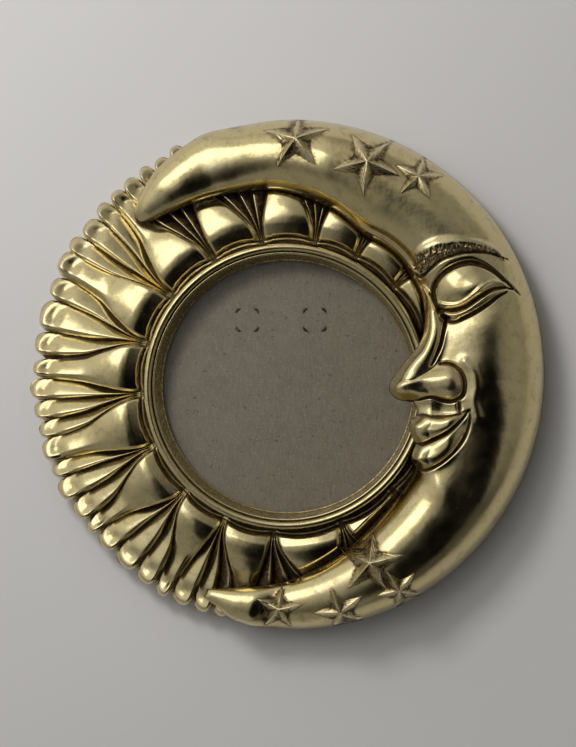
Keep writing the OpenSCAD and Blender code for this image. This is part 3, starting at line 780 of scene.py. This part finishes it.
def brow_relief(p):
    """The brow: a band with a rounded top and a pitted face, and how pitted each point is."""
    band = stroke(p, BROW, BROW_WIDTHS, 1.0, 5.0)
    lower = [(x + 0.5, y - 1.3) for x, y in BROW]
    pitted = stroke(p, lower, [w * 0.72 for w in BROW_WIDTHS], 1.0, 4.0)
    pitted = np.maximum(pitted, dome(p, 50.6, 39.8, 4.2, 4.4, 60, 1.0, 4.0))
    return band, pitted


def pits(p, band):
    """Small round dimples scattered over the brow."""
    seeds = rng.uniform((43, 33), (82, 50), (1900, 2))
    seeds = seeds[brow_relief(seeds)[1] > 0.45]
    depth = np.zeros(len(p))
    for q in seeds:
        d2 = (p[:, 0] - q[0]) ** 2 + (p[:, 1] - q[1]) ** 2
        depth = np.maximum(depth, np.exp(-d2 / 0.16))
    return depth * (band > 0.3)


MOON_COLUMNS = 600
MOON_ROWS = 150


def moon_columns():
    """The inner ends of the moon's columns of points in plan, their angles, and the outer ends."""
    # Columns are close together along the face's profile and wider apart elsewhere.
    steps = np.arange(len(edge_fine))
    along = np.linspace(0, 1, len(edge_fine))
    walk = np.cumsum(0.55 + 1.6 * np.exp(-(((along - 0.42) / 0.30) ** 4)))
    pick = np.interp(np.linspace(walk[0], walk[-1], MOON_COLUMNS), walk, steps)
    inner = np.stack([np.interp(pick, steps, edge_fine[:, k]) for k in (0, 1)], axis=1)
    inner_angle = angle_and_radius(inner)[0]
    # The outer ends are spread evenly, so that columns never cross.
    outer_angle = inner_angle.copy()
    for _ in range(400):
        outer_angle[1:-1] = (outer_angle[:-2] + outer_angle[2:] + 2 * outer_angle[1:-1]) / 4
    outer_angle = np.maximum.accumulate(outer_angle)
    outer = polar(moon_outer_at(outer_angle), outer_angle, 0.0)[:, :2]
    return inner, inner_angle, outer


def between(inner, outer, share):
    """Points on the way from each inner place to its outer one, at each share of the way."""
    share = share[None, :, None]
    return inner[:, None, :] * (1 - share) + outer[:, None, :] * share


def moon_underside(inner, inner_angle, outer):
    """The moon's lower face: over the bezel at the face, on the ring, and over the rays."""
    crossing = (inner_angle > 107) | (inner_angle < -98)
    inside = edge_height(inner_angle)
    outside = np.where(crossing, BASE_H + 7.6, BASE_H + 0.05)
    middle = np.where(crossing, outside, np.maximum(SEAT_Z + 0.4, outside))
    plan = between(inner, outer, np.array([0.0, 0.10, 0.5, 1.0]))
    z = np.stack([inside, inside, middle, outside], axis=1)
    return np.concatenate([plan, z[..., None]], axis=-1)


def moon(material):
    inner, inner_angle, outer = moon_columns()
    t = np.linspace(0, 1, MOON_ROWS)
    t = t - 0.055 * np.sin(2 * math.pi * t)  # closer rows at both edges
    plan = between(inner, outer, t)
    z, wash_and_shade, rubbed = moon_surface(plan.reshape(-1, 2))
    z = z.reshape(MOON_COLUMNS, MOON_ROWS)
    top = np.concatenate([plan, z[..., None]], axis=-1)
    bottom = moon_underside(inner, inner_angle, outer)
    points, faces = closed_sheet(top, bottom)
    wash_and_shade = np.clip(wash_and_shade + 0.7 * cavity(z, 9, 0.55).ravel(), 0, 1)
    rubbed = np.clip(rubbed + cavity(-z, 10, 0.5).ravel(), 0, 1)
    layers = with_underside(wash_and_shade, rubbed, bottom, 0.5)
    return mesh_object("moon_cast", "moon", points, faces, material, layers)


# How far the ridge lies below the CAD moon's top, so that the eyeball and brow stay under it.
RIDGE_DROP = 3.6


def over_rays(a):
    """How far the moon's narrow ends lie over the rays, by angle from -180 to 180."""
    return np.maximum(smoothstep(a, 100, 108), 1 - smoothstep(a, -99, -92))


def edge_height(a):
    """Height of the moon's lower inner edge: over the bezel at the face, on the rays elsewhere."""
    over_bezel = smoothstep(a, -35, -28) * (1 - smoothstep(a, 26, 36))
    free = BASE_H + 6.2
    low = free + (BASE_H + 7.6 - free) * over_rays(a)
    return low + (BEZEL_TOP + 0.5 - low) * over_bezel


def distance_to_line(p, line):
    """Distance of points p to a line through many points."""
    near = np.full(len(p), 1e9)
    for a, b in zip(line[:-1], line[1:]):
        along = b - a
        t = np.clip(((p - a) @ along) / (along @ along), 0, 1)
        d = p - a - t[:, None] * along
        near = np.minimum(near, d[:, 0] ** 2 + d[:, 1] ** 2)
    return np.sqrt(near)


def moon_surface(p):
    """Height of the moon's top at plan points, with shares of dark wash (patina and painted shade) and
    of rubbing.
    """
    a, r = angle_and_radius(p)
    # Distance to the inner edge, measured to the true edge so that the profile rolls evenly.
    near = distance_to_line(p, edge_fine[::6])
    from_outer = np.clip(moon_outer_at(a) - r, 0, None)
    z, section, cap = moon_swell(a, r, near, from_outer)
    face_z, wash_and_shade, rubbed = moon_face(p, smoothstep(section, 0.12, 0.6))
    # Rolled lip along the inner edge above and below the face.
    above_face = smoothstep(a, 34, 44) * (1 - smoothstep(a, 56, 72))
    below_face = 0.6 * (1 - smoothstep(a, -52, -44)) * smoothstep(a, -84, -66)
    lip = bell(near, 1.3, 0.8) * (above_face + below_face)
    cove = bell(near, 3.2, 1.0) * above_face
    z = z + face_z + (0.5 * lip - 0.9 * cove) * cap
    # Painted shade along the moon's inner and outer edges, and round the stars' feet.
    inner_edge_shade = 0.6 * (1 - smoothstep(near, 0.1, 0.8))
    outer_edge_shade = 0.5 * (1 - smoothstep(from_outer, 0.1, 0.9))
    return z, wash_and_shade + inner_edge_shade + outer_edge_shade + 0.62 * star_foot_shade(p), rubbed


def moon_swell(a, r, near, from_outer):
    """The moon without its face: height, share of the section's height, and how full its ends are."""
    width = near + from_outer
    t = near / np.maximum(width, 1e-6)
    swell = np.clip((moon_outer_at(a) - body_inner_at(a)) / 30, 0, 1)
    ridge = BASE_H + (MOON_TOP - RIDGE_DROP - BASE_H) * (0.35 + 0.65 * swell) - 5.4 * (1 - swell)
    outer_z = BASE_H + 1.2 + over_rays(a) * 7.4
    edge = (edge_height(a) + 0.8) * (1 - t) + outer_z * t
    # The tips thin down with their width, and the lower one also ends round.
    to_lower_tip = (a - FIRST_ANGLE) * np.radians(r)
    full = np.clip(np.minimum(width / 9, to_lower_tip / 3.5), 0, 1)
    cap = np.sqrt(1 - (1 - full) ** 2)
    crest = np.maximum(edge + np.minimum(0.36 * width, 7.0), ridge)
    # The section is round where the moon is broad and has a faint keel at its tips.
    narrow = np.clip(1 - swell * 2.2, 0, 1)
    section = np.power(np.clip(1 - np.abs(2 * t**0.9 - 1) ** (2.3 - 0.9 * narrow), 0, 1), 0.62)
    return edge + (crest - edge) * section * cap, section, cap


def moon_face(p, share):
    """Height that the face and its pitted brow add, with wash and rub shares."""
    relief, folds = face_relief(p)
    band, pitted = brow_relief(p)
    near_face = (p[:, 0] > 34) & (p[:, 1] > -52) & (p[:, 1] < 54)
    inside = (p[:, 0] > 43) & (p[:, 0] < 85) & (p[:, 1] > 33) & (p[:, 1] < 51)
    holes = np.zeros(len(p))
    holes[inside] = pits(p[inside], band[inside])
    z = np.where(near_face, relief * share, 0) + 1.1 * band - 0.55 * holes * band
    wash_and_shade = 0.7 * holes * band + 0.15 * pitted + np.where(near_face, 0.75 * folds, 0)
    return z, wash_and_shade, 0.5 * band * (1 - holes)


# The moon's inner edge without the profile of the face, for its overall swell.
BODY_INNER = [
    (-112, 80.5), (-104, 76.4), (-95, 73.4), (-85, 70.1), (-71, 64.9), (-54, 59.8), (-30, 54), (0, 51),
    (25, 54), (40, 60.1), (55, 63.1), (75, 67.4), (95, 72.7), (112, 75.5), (124, 78.2), (132, 82.3),
    (134, 84)]


def body_inner_at(a):
    return smooth_lookup(a, BODY_INNER)


# ---- Stars ----

# Each star's middle x and y, the radius of its points and its turn.
STARS = [
    (4.6, 85, 12.4, 91), (30.5, 76.2, 12.5, 120), (48.8, 70.9, 9, 80), (-2.1, -85.4, 8.8, 84),
    (20.6, -86, 9.9, 39), (31.4, -67.6, 12.3, 86), (41.8, -77.7, 8.4, 50)]
# A star's waist as a share of its size, the points along a spoke, and the depth of its sides.
STAR_WAIST = 0.45
STAR_STEPS = 6
STAR_SKIRT = 2.6


def star_spokes(x, y, size, turn):
    """A star's middle and the points along its ten spokes, in plan."""
    spokes = [(x, y)]
    for k in range(10):
        reach = size if k % 2 == 0 else size * STAR_WAIST
        a = math.radians(turn + 36 * k)
        for j in range(1, STAR_STEPS + 1):
            f = j / STAR_STEPS
            spokes.append((x + reach * f * math.cos(a), y + reach * f * math.sin(a)))
    return keep_on_moon(np.array(spokes))


def star_faces(rim, under):
    """Faces between neighbouring spokes, and the skirt and base whose first point is under."""
    faces = []
    for k in range(10):
        n = (k + 1) % 10
        a, b = 1 + k * STAR_STEPS, 1 + n * STAR_STEPS
        faces.append((0, a, b))
        faces += [(a + j, a + j + 1, b + j + 1, b + j) for j in range(STAR_STEPS - 1)]
        faces.append((rim[k], under + k, under + n, rim[n]))
    faces.append(tuple(under + k for k in range(9, -1, -1)))
    return faces


def star(number, material):
    """A five-pointed star with a ridge along each point, laid over the moon's swell."""
    plan = star_spokes(*STARS[number])
    ground = moon_surface(plan)[0]
    share = np.concatenate([[0], np.tile(np.arange(1, STAR_STEPS + 1) / STAR_STEPS, 10)])
    on_ridge = np.concatenate([[True], np.repeat(np.arange(10) % 2 == 0, STAR_STEPS)])
    proud = np.where(on_ridge, 0.4 + 1.9 * (1 - share**1.6), 0.2 + 2.1 * (1 - share) ** 1.3)
    top = np.column_stack([plan, ground + proud])
    rim = [(k + 1) * STAR_STEPS for k in range(10)]
    points = np.vstack([top, top[rim] - [0, 0, STAR_SKIRT]])
    low = np.where(on_ridge, 0, 0.5 + 0.35 * share)
    layers = {"wash_and_shade": np.concatenate([low, np.ones(10)]),
              "rubbed": np.concatenate([np.where(on_ridge, 0.9, 0), np.zeros(10)])}
    node = f"star_{number + 1}"
    piece = mesh_object(f"{node}_cast", node, points, star_faces(rim, len(top)),
                        material, layers, smooth=False)
    bevel = piece.modifiers.new("soft edges", "BEVEL")
    bevel.width = 0.22 * MM
    bevel.segments = 2
    bevel.limit_method = "ANGLE"
    bevel.angle_limit = math.radians(20)
    return piece


def star_foot_shade(p):
    """How close points p are to the outlines of the stars, from the outside, for the painted shade
    round their feet.
    """
    close = np.zeros(len(p))
    half_turn = math.radians(36)
    for x, y, size, turn in STARS:
        dx, dy = p[:, 0] - x, p[:, 1] - y
        round_it = np.arctan2(dy, dx) - math.radians(turn)
        from_point = np.abs((round_it + half_turn) % (2 * half_turn) - half_turn)
        waist = size * STAR_WAIST
        rise, run = waist * math.sin(half_turn), size - waist * math.cos(half_turn)
        outline = size * rise / (rise * np.cos(from_point) + run * np.sin(from_point))
        beyond = np.hypot(dx, dy) - outline
        close = np.maximum(close, bell(np.maximum(beyond, 0), 0, 0.8))
    return close


def keep_on_moon(plan):
    """Plan points moved in from the moon's outer edge where they would hang over it."""
    a, r = angle_and_radius(plan)
    return polar(np.minimum(r, moon_outer_at(a) - 1.2), a, 0)[:, :2]


# ---- Bezel, glazing and board ----


def lathe(name, node, radii, heights, material, wash_and_shade):
    """A ring turned round the opening's middle from the radii and heights of a closed outline."""
    steps = 360
    count = len(radii)
    points = polar(radii, np.arange(steps)[:, None] * 360 / steps, heights)
    faces = []
    for i in range(steps):
        a, b = i * count, (i + 1) % steps * count
        for j in range(count):
            n = (j + 1) % count
            faces.append((a + j, b + j, b + n, a + n))
    layers = {"wash_and_shade": np.tile(wash_and_shade, steps)}
    return mesh_object(name, node, points.reshape(-1, 3), faces, material, layers)


def arc(cx, cz, radius, start, end, count):
    """Points on an arc of a turned outline, between two angles in degrees."""
    turn = np.radians(np.linspace(start, end, count))
    return [(cx + radius * math.cos(t), cz + radius * math.sin(t)) for t in turn]


def bezel(material):
    """Flange, wall, a round outer bead, a finer bead inside it and a slope down to the lip."""
    bead = 1.35
    outline = [(RABBET_R, FLANGE_Z), (FLANGE_R, FLANGE_Z), (FLANGE_R, SEAT_Z), (BEZEL_R, SEAT_Z)]
    outline += [(BEZEL_R - 0.1, SEAT_Z + 2), (BEZEL_R, BEZEL_TOP - bead - 0.8)]
    outline += arc(BEZEL_R - bead, BEZEL_TOP - bead, bead, -15, 190, 22)
    outline += [(BEZEL_R - 2.85, BEZEL_TOP - 2.0)]
    outline += arc(BEZEL_R - 3.35, BEZEL_TOP - 2.15, 0.5, 20, 200, 9)
    outline += [(BEZEL_R - 4.0, BEZEL_TOP - 3.3), (BEZEL_R - 4.5, BEZEL_TOP - 4.9),
                (BEZEL_R - 4.9, LIP_Z + 2.2), (SIGHT_R + 0.45, LIP_Z + 1.15)]
    outline += arc(SIGHT_R + 0.45, LIP_Z + 0.55, 0.45, 90, 270, 9)
    outline += [(SIGHT_R + 0.6, LIP_Z), (RABBET_R, LIP_Z)]
    radii, heights = np.array(outline[::-1]).T
    groove = bell(radii, BEZEL_R - 2.85, 0.3) * (heights > LIP_Z + 3)
    slope = (heights < BEZEL_TOP - 3.0) & (radii < BEZEL_R - 3.6)
    outside = (radii > BEZEL_R - 0.6) & (heights < BEZEL_TOP - 2.2)
    # The slope down to the lip gets painted shade; the groove and the wall under the outer bead get a
    # dark wash.
    wash_and_shade = np.clip(groove + 0.42 * slope + 0.8 * outside, 0, 1)
    return lathe("bezel_cast", "bezel_ring", radii, heights, material, wash_and_shade)


def board(material):
    """The backing board, with painted shade in the slits where the prongs of the hinge's rivets come
    through.
    """
    rings = 150
    spokes = 360
    radii = np.linspace(0, GLASS_R, rings + 1)[1:]
    grid = polar(radii[:, None], np.arange(spokes) * 360 / spokes, 0.0)
    flat = np.vstack([[CENTRE_X, CENTRE_Y, 0.0], grid.reshape(-1, 3)])
    z, slit_shade = clinch_marks(flat[:, :2])
    flat[:, 2] = board_high[2] - 0.2 + z
    count = len(flat)
    rim = [1 + (rings - 1) * spokes + k for k in range(spokes)]
    low = flat[rim].copy()
    low[:, 2] = board_low[2]
    points = np.vstack([flat, low])
    around = [(k, (k + 1) % spokes) for k in range(spokes)]
    faces = [(0, 1 + k, 1 + n) for k, n in around]
    for i in range(rings - 1):
        a, b = 1 + i * spokes, 1 + (i + 1) * spokes
        faces += [(a + k, b + k, b + n, a + n) for k, n in around]
    faces += [(rim[k], count + k, count + n, rim[n]) for k, n in around]
    faces.append(tuple(count + k for k in range(spokes - 1, -1, -1)))
    layers = {"wash_and_shade": np.concatenate([slit_shade, np.zeros(spokes)])}
    return mesh_object("board_card", "backing_board", points, faces, material, layers)


# Each prong's slit is an arc: how far its middle is from the rivet's on both axes, and its radius.
PRONG_AT = 2.9
PRONG_BEND = 1.05


def clinch_marks(p):
    """Height of the marks that the two rivets' prongs leave in the board, and the painted shade in
    their slits.
    """
    z = np.zeros(len(p))
    dark = np.zeros(len(p))
    for node in ("rivet_left", "rivet_right"):
        low, high = box_mm(node)
        cx, cy = (low[:2] + high[:2]) / 2
        dx, dy = p[:, 0] - cx, p[:, 1] - cy
        square = np.maximum(np.abs(dx), np.abs(dy))
        z += 0.12 * (1 - smoothstep(square, 3.2, 4.3))
        for sx, sy in ((-1, -1), (-1, 1), (1, -1), (1, 1)):
            ex, ey = dx * sx - PRONG_AT, dy * sy - PRONG_AT
            ring = np.abs(np.hypot(ex, ey) - PRONG_BEND)
            corner = smoothstep(ex + ey, 0.35, 1.0)
            mark = (1 - smoothstep(ring, 0.28, 0.62)) * corner
            dark = np.maximum(dark, mark)
            z -= 0.3 * mark
    return z, dark


# ---- Put it together ----

CAST = antique_brass("cast brass")
BEZEL = antique_brass("bezel brass", rough=0.22, wear=0.2)
BASE = antique_brass("base brass", bright=(0.60, 0.53, 0.32), pale=(0.66, 0.62, 0.48), rough=0.34)
STEEL = plated_steel("zinc plate")
VELVET = flocked("black velvet")
CARD = board_card("grey card")
GLASS = clear_glass("picture glass")

sun_rays(CAST)
moon(CAST)
for k in range(len(STARS)):
    star(k, CAST)
bezel(BEZEL)
board(CARD)

STEEL_NODES = [
    "hinge_plate", "hinge_pin", "rivet_left", "rivet_right", "leg_leaf", "leg_rivets", "button_screws",
    "flange_screws", "ray_screws", "moon_screws"]
STEEL_NODES += [f"turn_button_{k}" for k in range(1, 5)]
FINISHES = [
    (GLASS, ["glass"]), (BASE, ["base_ring"]), (VELVET, ["velvet", "leg"]), (STEEL, STEEL_NODES)]
for material, nodes in FINISHES:
    for node in nodes:
        piece = frame["nodes"][node]
        piece.data.materials.clear()
        piece.data.materials.append(material)


def floor():
    """A large pale sheet under the frame."""
    n = Nodes("pale floor")
    tone = n.mix(n.remap(n.noise(3, 3), 0.3, 0.7), (0.765, 0.748, 0.732), (0.79, 0.773, 0.757))
    material = n.surface(n.add("BsdfPrincipled", Base_Color=tone, Roughness=0.55,
                               Specular_IOR_Level=0.3))
    mesh = bpy.data.meshes.new("floor")
    half = 2.5
    corners = [(-half, -half, 0), (half, -half, 0), (half, half, 0), (-half, half, 0)]
    mesh.from_pydata(corners, [], [(0, 1, 2, 3)])
    mesh.materials.append(material)
    sheet = bpy.data.objects.new("floor", mesh)
    bpy.context.scene.collection.objects.link(sheet)


def softbox(name, azimuth, elevation, distance, width, height, power, mirrored=True):
    """An area light at that place round the frame, facing it, that polished metal mirrors or not."""
    light = bpy.data.lights.new(name, "AREA")
    light.shape = "RECTANGLE"
    light.size, light.size_y = width, height
    light.energy = power
    a, e = math.radians(azimuth), math.radians(elevation)
    away = np.array([math.cos(e) * math.cos(a), math.cos(e) * math.sin(a), math.sin(e)])
    lamp = bpy.data.objects.new(name, light)
    lamp.visible_glossy = mirrored
    across = np.cross([0, 0, 1], away)
    across /= np.linalg.norm(across)
    place = np.eye(4)
    place[:3] = np.column_stack([across, np.cross(away, across), away, away * distance])
    lamp.matrix_world = Matrix(place.tolist())
    bpy.context.scene.collection.objects.link(lamp)


def world():
    """A dim room with grey walls: brighter towards the window at the upper left, darker at the
    lower right, and with the viewer and a dark ceiling overhead."""
    n = Nodes("room", "World")
    up = n.add("SeparateXYZ", Vector=n.add("TexCoord").outputs["Generated"])
    lit = n.remap(up.outputs["Z"], 0.50, 0.90, 0.24, 0.17)
    lit = n.math("ADD", n.remap(n.towards((-0.58, 0.60, 0.55)), 0.45, 1.0, 0.0, 0.45), lit)
    # Round patches with soft edges, and the share of the light that is left in each.
    patches = (((0.62, -0.76, 0.18), 0.70, 1.00, 0.25), ((0.27, -0.49, 0.83), 0.80, 0.89, 0.02),
               ((0.24, -0.10, 0.965), 0.90, 0.955, 0.02))
    for direction, low, high, left in patches:
        lit = n.math("MULTIPLY", lit, n.remap(n.towards(direction), low, high, 1.0, left))
    back = n.add("Background", Color=(1.0, 0.985, 0.96, 1.0), Strength=lit)
    bpy.context.scene.world = n.surface(back)


floor()
world()
softbox("window", 138, 54, 0.76, 0.46, 0.40, 0.90)
softbox("window_fill", 125, 46, 0.62, 0.17, 0.14, 1.18, mirrored=False)
bpy.context.scene.view_settings.view_transform = "Standard"
